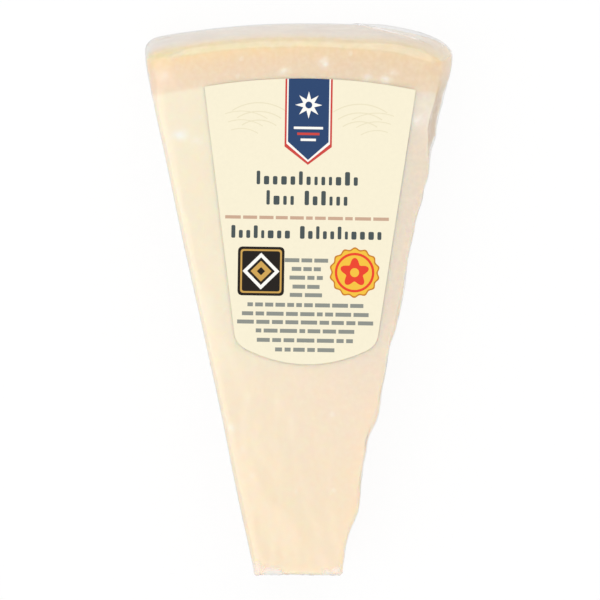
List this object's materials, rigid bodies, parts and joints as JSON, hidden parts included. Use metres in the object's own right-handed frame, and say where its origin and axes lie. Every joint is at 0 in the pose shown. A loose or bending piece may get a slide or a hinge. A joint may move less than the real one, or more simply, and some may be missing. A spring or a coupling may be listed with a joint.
{
  "type": "parmesan cheese wedge",
  "caption": "Retail wedge of hard, aged parmesan cheese in tight clear vacuum film, with a rind at one end, a blunt cut tip at the other, one broken craggy side and a paper label on the front.",
  "frame": {"origin": "on the surface that the wedge lies on, at the centre of its bounding box", "axes": "+Y from the tip towards the rind, +Z out of the labelled front, +X to the broken side"},
  "size_m": [0.0898, 0.1598, 0.0363],
  "materials": {
    "cheese": "dense, finely granular pale straw cheese, with a darker zone and a brown rind at the wheel's edge",
    "film": "clear, glossy vacuum film drawn tight over the cheese, wrinkled at the corners",
    "label": "smooth cream label paper, printed"
  },
  "bodies": {
    "root": {"packed_wedge": "cheese", "label": "label"}
  },
  "joints": []
}
